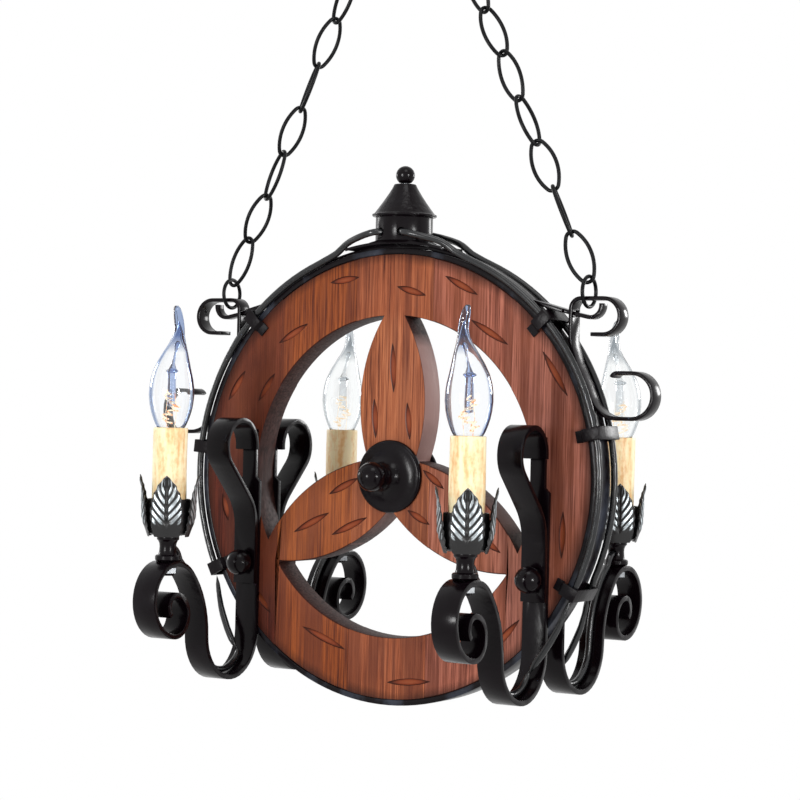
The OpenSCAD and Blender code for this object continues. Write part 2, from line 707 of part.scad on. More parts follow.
module canister_lid()
    color("black") at_wheel() translate([0, 0, lid_z]) difference() {
        rotate_extrude($fn = 72) polygon(concat(
            [[0, 0.1], [lid_d / 2 - 0.6, 0.1], [lid_d / 2, 0.8], [lid_d / 2, 2]],
            [for (k = [0:7]) let (s = k / 7)
                [8.5 + (lid_d / 2 - 10) * pow(1 - s, 1.15), 2.4 + (lid_h - 2.4) * s]],
            [[0, lid_h]]));
        difference() {
            translate([0, 0, -1]) cylinder(h = lid_h - 4, r1 = can_d / 2 - 3, r2 = 6);
            translate([0, 0, lid_h - 8]) cylinder(h = 8, d = 14);
        }
        cylinder(h = 3 * lid_h, d = 6, center = true);
    }

stem_h = can_h + lid_h + 7;

module finial_stem()
    color("dimgray") at_wheel() translate([0, 0, can_z + 0.2]) {
        cylinder(h = stem_h, d = 5);
        translate([0, 0, can_wall]) cylinder(h = 3, d = 10, $fn = 6);
    }

module finial_ball()
    color("black") at_wheel() translate([0, 0, lid_z + lid_h + fit / 2]) difference() {
        rotate_extrude($fn = 60) polygon(concat(
            [[0, 0]], [for (k = [1:11]) let (a = -66 + k * 156 / 11)
                finial_d / 2 * [cos(a), sin(a) + sin(66)]],
            [[0, finial_d / 2 * (1 + sin(66))]]));
        translate([0, 0, -1]) cylinder(h = 9, d = 5 + 2 * fit);
    }

module terminal_block()
    color("ivory") at_wheel() translate([-10, 0, can_z + can_wall + 0.1]) difference() {
        translate([0, 0, 4]) cube([7, 15, 8], center = true);
        for (y = [-4.8, 0, 4.8]) translate([0, y, 4]) cylinder(h = 20, d = 3, center = true);
    }

// ---- rings and chains ----

module ring(r, wire)
    rotate_extrude($fn = 64) translate([r, 0]) circle(d = wire, $fn = 24);

bow_r = 5.4; // bend of a link's two bows
flank_x = link_w / 2 - wire_d / 2;
bow_mid = link_len / 2 - bow_r;
flank_r = (pow(bow_mid, 2) + pow(flank_x, 2) - pow(bow_r, 2)) / (2 * (flank_x - bow_r)); // bend of its flanks
flank_turn = asin(bow_mid / (flank_r - bow_r));
weld_turn = 0.5; // a flank is a hair thicker than a bow and runs this far over it

// An oval chain link of four bends, standing along Z, seen broad from the front
module link()
    rotate([90, 0, 0]) for (up = [0, 1]) rotate([0, 0, 180 * up]) {
        translate([0, bow_mid]) rotate([0, 0, flank_turn])
            rotate_extrude(angle = 180 - 2 * flank_turn, $fn = 72)
                translate([bow_r, 0]) circle(d = wire_d, $fn = 20);
        translate([flank_x - flank_r, 0]) rotate([0, 0, -flank_turn - weld_turn])
            rotate_extrude(angle = 2 * (flank_turn + weld_turn), $fn = 144)
                translate([flank_r, 0]) circle(d = wire_d + 0.06, $fn = 20);
    }

// How far a link is turned from square, as a hanging chain settles, from the ring down
left_turns = [[0, 0], [3, -24], [4, -24], [5, -50], [6, -24], [7, -36], [8, -24], [9, -12]];
right_turns = [[0, 0], [4, -31], [5, -15], [6, -10], [7, 8], [8, 18], [9, 12]];

function twist(i, left) = (i % 2 == 0 ? 90 : 0) + lookup(i, left ? left_turns : right_turns);

module chain(from, to, left)
    translate([0, 0, eye_z - drop]) rotate([0, left ? chain_lean : -chain_lean, 0])
        for (i = [from:to]) translate([0, 0, -first_bow - link_len / 2 - i * link_pitch])
            rotate([0, 0, twist(i, left)]) link();

module hanging_ring()
    color("black") translate([0, 0, eye_z - drop]) rotate([90, 0, 0]) ring(eye_r, eye_wire_d);

module top_links()
    color("black") for (left = [false, true]) chain(0, 0, left);

module chain_left() color("black") chain(1, link_count - 1, true);
module chain_right() color("black") chain(1, link_count - 1, false);

module hook_rings()
    color("black") at_wheel() for (side = [-1, 1])
        translate([side * hook_x, 0, hook_ring_z]) rotate([0, 90, 0])
            ring(hook_ring_r + wire_d / 2, wire_d);

board_outer_left();
board_left();
board_centre();
board_right();
board_outer_right();
tyre();
hub_plate_front();
hub_plate_back();
hub_bolt();
hub_nut();
arm_front_left();
arm_front_right();
arm_back_left();
arm_back_right();
scroll_front_left();
scroll_front_right();
scroll_back_left();
scroll_back_right();
ball_bolts();
ball_nuts();
spindles();
spindle_nuts();
leaf_cups();
lampholders();
sleeve_front_left();
sleeve_front_right();
sleeve_back_left();
sleeve_back_right();
bulb_cap_front_left();
bulb_cap_front_right();
bulb_cap_back_left();
bulb_cap_back_right();
glass_front_left();
glass_front_right();
glass_back_left();
glass_back_right();
filament_front_left();
filament_front_right();
filament_back_left();
filament_back_right();
cable_front_left();
cable_front_right();
cable_back_left();
cable_back_right();
cable_clips();
crown_strap();
side_strap_left();
side_strap_right();
saddle();
canister();
canister_lid();
finial_stem();
finial_ball();
terminal_block();
hook_rings();
chain_left();
chain_right();
top_links();
hanging_ring();
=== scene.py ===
"""Looks of a wagon wheel chandelier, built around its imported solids.

Everything is in metres in the part's own frame: the origin is the top of the hanging ring's eye,
+Z is up, +X is to the right and -Y is the front. Sizes written in millimetres go through mm().
"""

from __future__ import annotations

import json
import logging
import math
from dataclasses import dataclass
from enum import Enum
from typing import Any, Callable, Iterable, Sequence

import bmesh
import bpy
from mathutils import Matrix, Vector, noise

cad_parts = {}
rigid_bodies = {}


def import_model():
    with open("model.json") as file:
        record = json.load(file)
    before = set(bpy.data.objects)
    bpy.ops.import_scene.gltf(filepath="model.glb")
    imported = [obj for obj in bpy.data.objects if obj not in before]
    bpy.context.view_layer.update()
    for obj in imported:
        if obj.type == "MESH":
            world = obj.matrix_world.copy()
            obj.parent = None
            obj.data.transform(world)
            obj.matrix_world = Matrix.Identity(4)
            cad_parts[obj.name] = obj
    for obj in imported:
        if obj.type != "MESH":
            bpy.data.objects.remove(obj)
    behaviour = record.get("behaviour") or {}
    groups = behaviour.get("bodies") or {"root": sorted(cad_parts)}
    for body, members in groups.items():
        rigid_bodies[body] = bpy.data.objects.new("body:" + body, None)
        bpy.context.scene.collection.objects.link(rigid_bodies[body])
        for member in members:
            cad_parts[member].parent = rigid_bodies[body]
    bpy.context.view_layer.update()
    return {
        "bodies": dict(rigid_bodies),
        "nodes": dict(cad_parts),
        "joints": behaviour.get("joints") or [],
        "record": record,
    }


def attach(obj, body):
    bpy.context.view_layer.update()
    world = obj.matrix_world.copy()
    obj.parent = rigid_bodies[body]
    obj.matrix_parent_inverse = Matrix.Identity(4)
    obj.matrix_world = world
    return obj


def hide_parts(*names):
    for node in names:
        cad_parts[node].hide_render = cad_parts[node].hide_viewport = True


Tree = bpy.types.NodeTree
Socket = bpy.types.NodeSocket
Material = bpy.types.Material
Shape = bmesh.types.BMesh
SceneObject = bpy.types.Object

LOG = logging.getLogger("chandelier")
PHOTO_SIDE = 800  # pixels along each side of the photograph
WHEEL_CENTRE = Vector((0.0, 0.0, -0.529154))  # middle of the wooden wheel
WELD_MM = 0.003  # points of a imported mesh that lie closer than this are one
FLAT_DEG = 0.6  # faces that meet at less than this are one flat
HARD_DEG = 38.0  # edges that turn by more than this are rounded over
WHITE = (1.0, 1.0, 1.0, 1.0)


def mm(length: float) -> float:
    """Turns millimetres into the scene's metres."""
    return length / 1000.0


def linear(hex_colour: str) -> tuple[float, float, float, float]:
    """Turns an sRGB hex colour into the linear colour that shaders take.

    Args:
        hex_colour: Six hex digits after a hash sign.

    Returns:
        Red, green, blue and an alpha of 1.
    """
    parts = [int(hex_colour[i : i + 2], 16) / 255.0 for i in (1, 3, 5)]
    red, green, blue = (c / 12.92 if c <= 0.04045 else ((c + 0.055) / 1.055) ** 2.4 for c in parts)
    return red, green, blue, 1.0


# ---- materials ----


def add_node(tree: Tree, kind: str, settings: dict[str, Any] | None = None,
             **inputs: Any) -> bpy.types.Node:
    """Adds a node with its settings, values and links.

    Args:
        tree: Node tree that gets the node.
        kind: Blender's name for the node type, without "ShaderNode".
        settings: Properties of the node.
        **inputs: Input sockets by name, with _ for a space, or in0, in1 and so on by number; each
            is a value or the socket that feeds it.

    Returns:
        The new node.
    """
    node = tree.nodes.new("ShaderNode" + kind)
    for key, value in (settings or {}).items():
        setattr(node, key, value)
    for key, value in inputs.items():
        by_number = key[:2] == "in" and key[2:].isdigit()
        socket = node.inputs[int(key[2:]) if by_number else key.replace("_", " ")]
        if isinstance(value, Socket):
            tree.links.new(value, socket)
        else:
            socket.default_value = value
    return node


def new_material(name: str) -> tuple[Material, Tree]:
    """Makes an empty material with an output node called Output."""
    material = bpy.data.materials.new(name)
    material.use_nodes = True
    tree = material.node_tree
    tree.nodes.clear()
    output = tree.nodes.new("ShaderNodeOutputMaterial")
    output.name = "Output"
    return material, tree


def show(tree: Tree, surface: Socket) -> None:
    """Links a shader to the material's output."""
    tree.links.new(surface, tree.nodes["Output"].inputs["Surface"])


def grain(tree: Tree, scale: tuple[float, float, float], detail: float = 3.0,
          shift: tuple[float, float, float] = (0.0, 0.0, 0.0), rough: float = 0.55) -> Socket:
    """Noise on object coordinates with its own scale along each axis.

    Args:
        tree: Node tree that gets the nodes.
        scale: Features per metre along X, Y and Z.
        detail: Octaves of finer noise.
        shift: Offset that gives each piece another stretch of the pattern.
        rough: Strength of the finer octaves.

    Returns:
        The noise value's socket.
    """
    place = add_node(tree, "TexCoord").outputs["Object"]
    mapped = add_node(tree, "Mapping", Vector=place, Scale=scale, Location=shift).outputs["Vector"]
    noisy = add_node(tree, "TexNoise", Vector=mapped, Scale=1.0, Detail=detail, Roughness=rough)
    return noisy.outputs["Fac"]


def ramp(tree: Tree, fac: Socket, stops: Sequence[tuple[float, str]]) -> Socket:
    """Colour ramp through hex colours.

    Args:
        tree: Node tree that gets the node.
        fac: Socket that drives the ramp.
        stops: Position and hex colour of each stop, in order.

    Returns:
        The colour socket.
    """
    node = add_node(tree, "ValToRGB", Fac=fac)
    elements = node.color_ramp.elements
    while len(elements) < len(stops):
        elements.new(0.5)
    for element, (position, colour) in zip(elements, stops):
        element.position = position
        element.color = linear(colour)
    return node.outputs["Color"]


def span(tree: Tree, value: Socket, low: float, high: float,
         to_low: float = 0.0, to_high: float = 1.0) -> Socket:
    """Maps a value from one range to another, and holds it there."""
    mapped = add_node(tree, "MapRange", in0=value, in1=low, in2=high, in3=to_low, in4=to_high)
    return mapped.outputs["Result"]


def mix(tree: Tree, fac: Any, first: Any, second: Any, blend: str = "MIX") -> Socket:
    """Mixes two colours."""
    kind = {"data_type": "RGBA", "blend_type": blend}
    return add_node(tree, "Mix", kind, in0=fac, in6=first, in7=second).outputs[2]


def sums(tree: Tree, how: str, first: Any, second: Any = 0.0) -> Socket:
    """One step of arithmetic."""
    return add_node(tree, "Math", {"operation": how}, in0=first, in1=second).outputs["Value"]


def bump(tree: Tree, height: Socket, depth_mm: float) -> Socket:
    """Bump of the given depth, as a normal socket."""
    return add_node(tree, "Bump", Height=height, Strength=1.0, Distance=mm(depth_mm)).outputs["Normal"]


def looked_at(tree: Tree) -> Socket:
    """1 where the camera, a mirroring surface or a clear body looks, and 0 for light on the object."""
    ray = add_node(tree, "LightPath").outputs
    seen = sums(tree, "MAXIMUM", ray["Is Camera Ray"], ray["Is Transmission Ray"])
    return sums(tree, "MAXIMUM", seen, ray["Is Glossy Ray"])


@dataclass(frozen=True)
class StainedPine:
    """Stained, brushed softwood board with upright grain, burnt dark along its sawn edges.

    Attributes:
        light: Colour between the grain lines.
        middle: Main colour of the stain.
        shift: Where in the pattern this board lies, so that no two boards match.
        pore: Colour of the grain lines.
        burnt: Colour of the sawn edges.
    """

    light: str
    middle: str
    shift: tuple[float, float, float]
    pore: str = "#43201a"
    burnt: str = "#1c0a07"

    def make(self, name: str) -> Material:
        """Builds the wood's material."""
        material, tree = new_material(name)
        edge = CarvedWheel.radius_mm
        # Fibres about 1 mm wide and 50 mm long, and growth rings about 9 mm apart.
        fibres = grain(tree, (950.0, 300.0, 20.0), 5.0, self.shift, 0.62)
        rings = grain(tree, (110.0, 40.0, 5.0), 2.0, self.shift)
        stain = grain(tree, (22.0, 22.0, 14.0), 3.0, self.shift)
        body = ramp(tree, fibres, ((0.32, self.pore), (0.45, self.middle), (0.62, self.light)))
        banded = mix(tree, span(tree, rings, 0.44, 0.6, 0.0, 0.7), body, linear("#5b2d20"))
        warmed = mix(tree, span(tree, stain, 0.4, 0.7, 0.0, 0.4), banded, linear("#9a5636"))
        place = add_node(tree, "SeparateXYZ", Vector=add_node(tree, "TexCoord").outputs["Object"])
        upright = sums(tree, "SUBTRACT", place.outputs["Z"], WHEEL_CENTRE.z)
        across = sums(tree, "POWER", place.outputs["X"], 2.0)
        up_square = sums(tree, "MULTIPLY", upright, upright)
        radius = sums(tree, "SQRT", sums(tree, "ADD", across, up_square))
        ragged = sums(tree, "ADD", radius, sums(tree, "MULTIPLY", stain, mm(14.0)))
        rim = span(tree, ragged, mm(edge - 1.0), mm(edge + 7.0), 0.0, 0.75)
        # Darker over the outer ring than on the spokes.
        ring = span(tree, ragged, mm(edge - 52.0), mm(edge - 36.0), 0.0, 0.5)
        ring_darker = mix(tree, ring, warmed, linear("#dcc3bc"), "MULTIPLY")
        edged = mix(tree, rim, ring_darker, linear(self.burnt))
        off_middle = sums(tree, "ABSOLUTE", place.outputs["Y"])
        depth = sums(tree, "SUBTRACT", mm(CarvedWheel.thick_mm / 2.0), off_middle)
        normal = add_node(tree, "SeparateXYZ", Vector=add_node(tree, "TexCoord").outputs["Normal"])
        facing = sums(tree, "ABSOLUTE", normal.outputs["Y"])
        # Painted shade and light in the gouges: the shallow walls are painted dark as shade, and the
        # deep middle paler as the lit side of a groove.
        cut = ramp(tree, span(tree, depth, 0.0, mm(CarvedWheel.gouge_deep_mm)),
                   ((0.0, "#240e08"), (0.4, "#3c180c"), (0.75, "#7a361e"), (1.0, "#8c4628")))
        gouge_shading_mask = sums(tree, "MULTIPLY", span(tree, depth, mm(0.06), mm(0.2)),
                        span(tree, facing, 0.3, 0.4))
        carved = mix(tree, gouge_shading_mask, edged, cut)
        side = span(tree, facing, 0.25, 0.9, 1.0, 0.0)
        end_grain = ramp(tree, fibres, ((0.3, "#180907"), (0.7, "#54302a")))
        side_wood = mix(tree, 0.5, linear(self.burnt), end_grain)
        # The upright flanks of the spokes are paler than the burnt opening.
        sideways = span(tree, sums(tree, "ABSOLUTE", normal.outputs["X"]), 0.55, 0.9)
        flank = sums(tree, "MULTIPLY", sideways,
                     span(tree, radius, mm(edge - 60.0), mm(edge - 70.0)))
        pale_flanks = mix(tree, sums(tree, "MULTIPLY", flank, 0.8), side_wood, linear("#9c7a74"))
        sawn = mix(tree, side, carved, pale_flanks)
        height = sums(tree, "ADD", fibres, sums(tree, "MULTIPLY", rings, 0.6))
        shader = add_node(tree, "BsdfPrincipled", Base_Color=sawn, IOR=1.5, Specular_IOR_Level=0.15,
                          Roughness=span(tree, fibres, 0.3, 0.7, 0.62, 0.46),
                          Normal=bump(tree, height, 0.35))
        show(tree, shader.outputs["BSDF"])
        return material


@dataclass(frozen=True)
class BlackPaint:
    """Wrought iron, hammered and sprayed satin black: deep black with soft broken glints.

    Attributes:
        colour: The paint.
        worn_and_sheen: What shows where hands and rubbing polished it.
        wear_and_sheen: Share of the surface that is polished, from 0 to 1; on the tyre it also spreads a
            painted sheen.
        worn_and_sheen: What shows where hands and rubbing polished it; on the tyre, a painted grey-blue
            sheen as well.
        dimple_mm: Spacing of the hammer marks.
        dimple_deep_mm: Their depth.
        rough: The paint's roughness.
    """

    colour: str = "#080306"
    worn_and_sheen: str = "#1a181c"
    wear_and_sheen: float = 0.3
    dimple_mm: float = 9.0
    dimple_deep_mm: float = 0.2
    rough: float = 0.16

    def make(self, name: str) -> Material:
        """Builds the paint's material."""
        material, tree = new_material(name)
        dents = grain(tree, (1000.0 / self.dimple_mm,) * 3, 2.0)
        spray = grain(tree, (900.0,) * 3, 2.0)
        patches = grain(tree, (38.0, 38.0, 26.0), 4.0)
        # On the tyre these patches are mostly a painted sheen, besides wear.
        polished = span(tree, patches, 0.5, 0.75, 0.0, self.wear_and_sheen)
        colour = mix(tree, polished, linear(self.colour), linear(self.worn_and_sheen))
        height = sums(tree, "ADD", dents, sums(tree, "MULTIPLY", spray, 0.08))
        shader = add_node(tree, "BsdfPrincipled", Base_Color=colour, IOR=1.5, Specular_IOR_Level=0.14,
                          Roughness=span(tree, patches, 0.3, 0.75, self.rough, self.rough + 0.12),
                          Normal=bump(tree, height, self.dimple_deep_mm))
        show(tree, shader.outputs["BSDF"])
        return material


@dataclass(frozen=True)
class RubbedIron:
    """Pressed iron leaf: black in its grooves, rubbed back to bright metal on its ribs.

    Attributes:
        rib: Name of the point attribute that is 1 on a rib and 0 in a groove.
    """

    rib: str = "rib"

    def make(self, name: str) -> Material:
        """Builds the leaf's material."""
        material, tree = new_material(name)
        raised = add_node(tree, "Attribute", {"attribute_name": self.rib}).outputs["Fac"]
        patches = grain(tree, (160.0,) * 3, 3.0)
        polished = sums(tree, "MULTIPLY", span(tree, raised, 0.62, 0.92),
                        span(tree, patches, 0.32, 0.6, 0.45, 1.0))
        colour = mix(tree, polished, linear("#060506"), linear("#ccd4d8"))
        shader = add_node(tree, "BsdfPrincipled", Base_Color=colour,
                          Metallic=span(tree, polished, 0.0, 0.5),
                          Roughness=span(tree, patches, 0.3, 0.7, 0.28, 0.42),
                          Normal=bump(tree, grain(tree, (700.0,) * 3), 0.1))
        show(tree, shader.outputs["BSDF"])
        return material


@dataclass(frozen=True)
class WaxTube:
    """Moulded card tube dipped in ivory wax: runs and smears of warmer wax down its side.

    Attributes:
        pale: Colour of the wax.
        warm: Colour of its thicker runs.
    """

    pale: str = "#fdeabf"
    warm: str = "#e6b47a"

    def make(self, name: str) -> Material:
        """Builds the wax's material."""
        material, tree = new_material(name)
        runs = grain(tree, (190.0, 190.0, 30.0), 3.0)
        mottle = grain(tree, (420.0, 420.0, 260.0), 4.0)
        mixed = sums(tree, "ADD", sums(tree, "MULTIPLY", runs, 0.7),
                     sums(tree, "MULTIPLY", mottle, 0.3))
        colour = ramp(tree, mixed, ((0.36, self.warm), (0.46, "#f6d5a2"), (0.55, self.pale)))
        shader = add_node(tree, "BsdfPrincipled", Base_Color=colour, IOR=1.44, Roughness=0.42,
                          Subsurface_Weight=0.15, Subsurface_Scale=mm(3.0),
                          Normal=bump(tree, runs, 0.5))
        shader.inputs["Subsurface Radius"].default_value = (1.0, 0.7, 0.4)
        show(tree, shader.outputs["BSDF"])
        return material


@dataclass(frozen=True)
class BlownGlass:
    """Blown soda glass: clear to look through, tinted where the sight line runs along its wall.

    Attributes:
        rim: Colour of the glass seen edge-on.
        clear: Colour of the glass seen face-on.
        haze: Colour between the two, and at the very edge.
    """

    rim: str = "#5a76ac"
    clear: str = "#fdfeff"
    haze: str = "#bccbe4"

    def make(self, name: str) -> Material:
        """Builds the glass's material."""
        material, tree = new_material(name)
        edge = add_node(tree, "LayerWeight", Blend=0.5).outputs["Facing"]
        around = ramp(tree, edge, ((0.0, self.clear), (0.4, self.clear), (0.52, self.haze),
                                   (0.66, self.rim), (0.82, self.rim), (0.97, self.haze)))
        # The drawn-out tip is a solid rod, so it shows the glass's own colour.
        place = add_node(tree, "TexCoord").outputs["Object"]
        height = add_node(tree, "SeparateXYZ", Vector=place).outputs["Z"]
        foot = WHEEL_CENTRE.z + mm(CandleLamp.seat_mm + CandleLamp.sleeve_high_mm)
        tip = span(tree, height, foot + mm(58.0), foot + mm(72.0))
        rod = mix(tree, 0.5, linear(self.rim), linear(self.haze))
        tint = mix(tree, tip, around, rod)
        shader = add_node(tree, "BsdfPrincipled", Base_Color=tint, IOR=1.45, Roughness=0.02)
        shader.inputs["Transmission Weight"].default_value = 1.0
        show(tree, shader.outputs["BSDF"])
        return material


@dataclass(frozen=True)
class Plain:
    """A plain moulded, plated or fired surface with a little unevenness.

    Attributes:
        colour: Main colour.
        deep: Colour of its darker patches.
        metallic: 1 for bare metal and 0 for the rest.
        rough: Roughness.
        grain_mm: Spacing of its unevenness.
        deep_mm: Depth of its unevenness.
    """

    colour: str
    deep: str
    metallic: float = 0.0
    rough: float = 0.4
    grain_mm: float = 3.0
    deep_mm: float = 0.05

    def make(self, name: str) -> Material:
        """Builds the surface's material."""
        material, tree = new_material(name)
        uneven = grain(tree, (1000.0 / self.grain_mm,) * 3, 3.0)
        colour = mix(tree, span(tree, uneven, 0.35, 0.65), linear(self.deep), linear(self.colour))
        shader = add_node(tree, "BsdfPrincipled", Base_Color=colour, Metallic=self.metallic,
                          Roughness=span(tree, uneven, 0.3, 0.7, self.rough, self.rough + 0.12),
                          Normal=bump(tree, uneven, self.deep_mm))
        show(tree, shader.outputs["BSDF"])
        return material


@dataclass(frozen=True)
class HotWire:
    """Lit tungsten wire: near white, with an orange cast where it is cooler.

    Attributes:
        hot: Colour of its glow.
        cooler: Colour of its cooler stretches.
        strength: Strength of the glow, where 1 is white.
    """

    hot: str = "#fff0d2"
    cooler: str = "#f0924c"
    strength: float = 1.15

    def make(self, name: str) -> Material:
        """Builds the wire's material."""
        material, tree = new_material(name)
        glow = ramp(tree, grain(tree, (420.0,) * 3, 2.0), ((0.4, self.cooler), (0.52, self.hot)))
        shader = add_node(tree, "BsdfPrincipled", Base_Color=linear("#3a2a1c"), Emission_Color=glow,
                          Roughness=0.5)
        shader.inputs["Emission Strength"].default_value = self.strength
        show(tree, shader.outputs["BSDF"])
        return material


class Finish(Enum):
    """Every finish on the chandelier but the boards' own."""

    IRON = BlackPaint()
    CHAIN = BlackPaint(colour="#08080a", worn_and_sheen="#26282b", rough=0.3, dimple_deep_mm=0.1)
    # The tyre's grey-blue patches over most of its surface are a painted sheen, with some wear.
    TYRE = BlackPaint(worn_and_sheen="#434854", wear_and_sheen=0.8, rough=0.24)
    LID = BlackPaint(dimple_mm=5.0, dimple_deep_mm=0.5, worn_and_sheen="#232327")
    LEAF = RubbedIron()
    WAX = WaxTube()
    GLASS = BlownGlass()
    BACK_GLASS = BlownGlass(rim="#9fa6ab", clear="#fdfefe", haze="#dfe3e6")
    # The front stem's blue-grey glass is a painted reflection: it copies the reflection seen on the
    # bulb's neck band.
    STEM = BlownGlass(rim="#6f86b8", clear="#a9bbdf", haze="#a9bbdf")
    BACK_STEM = BlownGlass(rim="#c4cacf", clear="#e2e6e9", haze="#e2e6e9")
    WIRE = HotWire()
    BACK_WIRE = HotWire(hot="#fff4e2", cooler="#f4d6ae", strength=1.0)
    BRASS = Plain("#c7a25a", "#9c7a3c", 1.0, 0.3)
    SHEATH = Plain("#0b0c0d", "#141518", 0.0, 0.2, 20.0, 0.1)
    MOULDING = Plain("#e9e6da", "#d8d3c4")
    ZINC = Plain("#a5a8aa", "#85888c", 1.0, 0.34)
    CLIP = BlackPaint(dimple_mm=4.0, dimple_deep_mm=0.3, rough=0.3)

    def material(self) -> Material:
        """The finish's material, made once."""
        name = "finish_" + self.name.lower()
        return bpy.data.materials.get(name) or self.value.make(name)


# ---- meshes ----


@dataclass
class Shop:
    """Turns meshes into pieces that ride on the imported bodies.

    Attributes:
        nodes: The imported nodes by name.
        body_of: The body of each node.
        slot_of: The material slot of each node.
    """

    nodes: dict[str, SceneObject]
    body_of: dict[str, str]
    slot_of: dict[str, str]

    @classmethod
    def opened(cls, frame: dict[str, Any]) -> Shop:
        record = frame["record"]
        body_of = {n: body for body, members in record["behaviour"]["bodies"].items() for n in members}
        slot_of = {part["node"]: part["material_slot"] for part in record["subparts"]}
        return cls(frame["nodes"], body_of, slot_of)

    def dress(self, node: str, finish: Finish) -> None:
        """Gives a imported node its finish, and leaves its mesh alone."""
        mesh = self.nodes[node].data
        mesh.materials.clear()
        mesh.materials.append(finish.material())
        LOG.info("%s keeps its solid", node)

    def merged(self, node: str) -> Shape:
        """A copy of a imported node's mesh, with its triangles joined and its flats cleared of seams."""
        shape = bmesh.new()
        shape.from_mesh(self.nodes[node].data)
        for layer in list(shape.loops.layers.float_vector.values()):
            shape.loops.layers.float_vector.remove(layer)
        bmesh.ops.remove_doubles(shape, verts=shape.verts, dist=mm(WELD_MM))
        bmesh.ops.dissolve_degenerate(shape, dist=mm(WELD_MM), edges=shape.edges)
        bmesh.ops.dissolve_limit(shape, angle_limit=math.radians(FLAT_DEG), verts=shape.verts,
                                 edges=shape.edges)
        return shape

    def piece(self, name: str, shape: Shape, node: str, material: Material,
              sharp: float = 32.0) -> SceneObject:
        """Makes a piece of a mesh, which rides on a node's body and stands for that node.

        Args:
            name: The piece's name.
            shape: Its mesh, which is freed.
            node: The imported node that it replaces.
            material: Its finish.
            sharp: Angle in degrees past which an edge stays hard.

        Returns:
            The new object.
        """
        for face in shape.faces:
            face.smooth = True
        for edge in shape.edges:
            edge.smooth = edge.calc_face_angle(0.0) < math.radians(sharp)
        mesh = bpy.data.meshes.new(name)
        shape.to_mesh(mesh)
        shape.free()
        for stale in ("custom_normal", "sharp_face"):
            if stale in mesh.attributes:
                mesh.attributes.remove(mesh.attributes[stale])
        mesh.materials.clear()
        mesh.materials.append(material)
        made = bpy.data.objects.new(name, mesh)
        bpy.context.scene.collection.objects.link(made)
        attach(made, self.body_of[node])
        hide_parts(node)
        LOG.info("%s: %d faces, for %s", name, len(mesh.polygons), node)
        return made

    def eased(self, node: str, name: str, finish: Finish, round_mm: float) -> SceneObject:
        """Remakes a node with its hard edges rounded over, as forging and filing leave them.

        Args:
            node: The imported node.
            name: The new piece's name.
            finish: Its finish.
            round_mm: How far the rounding reaches from an edge.

        Returns:
            The new object.
        """
        shape = self.merged(node)
        round_edges(shape, round_mm)
        return self.piece(name, shape, node, finish.material())


def round_edges(shape: Shape, round_mm: float, steps: int = 2,
                skip: Callable[[bmesh.types.BMEdge], bool] = lambda edge: False) -> None:
    """Rounds the hard edges of a mesh.

    Args:
        shape: The mesh.
        round_mm: How far the rounding reaches from an edge.
        steps: Flats across the rounding.
        skip: Tells which edges are left hard.
    """
    hard = [e for e in shape.edges
            if e.is_manifold and e.calc_face_angle(0.0) > math.radians(HARD_DEG) and not skip(e)]
    bmesh.ops.bevel(shape, geom=hard, offset=mm(round_mm), offset_type="OFFSET", segments=steps,
                    profile=0.5, affect="EDGES", clamp_overlap=True, material=-1)


def spun(profile: Sequence[tuple[float, float]], steps: int = 64) -> Shape:
    """Turns a profile about the Z axis, and closes it on itself.

    Args:
        profile: Closed outline as points (radius, height) in millimetres.
        steps: Steps round the axis.

    Returns:
        The closed mesh.
    """
    shape = bmesh.new()
    verts = [shape.verts.new((mm(r), 0.0, mm(z))) for r, z in profile]
    edges = [shape.edges.new((verts[i], verts[(i + 1) % len(verts)])) for i in range(len(verts))]
    bmesh.ops.spin(shape, geom=verts + edges, cent=(0, 0, 0), axis=(0, 0, 1), angle=math.tau,
                   steps=steps, use_merge=True, use_duplicate=False)
    bmesh.ops.remove_doubles(shape, verts=shape.verts, dist=mm(0.01))
    bmesh.ops.recalc_face_normals(shape, faces=shape.faces)
    return shape


def bent(shape: Shape, where: Callable[[Vector], Vector]) -> None:
    """Moves every point of a mesh to where a function puts it."""
    for vert in shape.verts:
        vert.co = where(vert.co)


def between(stops: Sequence[tuple[float, float]], at: float) -> float:
    """Reads a value between stops, along a straight line from each to the next.

    Args:
        stops: Positions in order, each with its value.
        at: Where to read.

    Returns:
        The value there.
    """
    for (low, first), (high, second) in zip(stops, stops[1:]):
        if at <= high:
            share = max(0.0, (at - low) / (high - low))
            return first + (second - first) * share
    return stops[-1][1]


def joined(parts: Iterable[Shape]) -> Shape:
    """Puts meshes together in one, and frees them."""
    whole = bmesh.new()
    for part in parts:
        scrap = bpy.data.meshes.new("scrap")
        part.to_mesh(scrap)
        part.free()
        whole.from_mesh(scrap)
        bpy.data.meshes.remove(scrap)
    return whole


def wire(points: Sequence[tuple[float, float, float]], diameter_mm: float) -> Shape:
    """A smooth round wire through points.

    Args:
        points: Points on the wire's middle, in millimetres.
        diameter_mm: Its diameter.

    Returns:
        The wire's mesh, with closed ends.
    """
    curve = bpy.data.curves.new("wire", "CURVE")
    curve.dimensions = "3D"
    curve.bevel_depth = mm(diameter_mm / 2.0)
    curve.bevel_resolution = 2
    curve.use_fill_caps = True
    spline = curve.splines.new("POLY")
    spline.points.add(len(points) - 1)
    for spot, point in zip(spline.points, points):
        spot.co = (*(mm(c) for c in point), 1.0)
    holder = bpy.data.objects.new("wire", curve)
    mesh = bpy.data.meshes.new_from_object(holder)
    shape = bmesh.new()
    shape.from_mesh(mesh)
    bpy.data.objects.remove(holder)
    bpy.data.curves.remove(curve)
    bpy.data.meshes.remove(mesh)
    return shape


# ---- the wheel ----


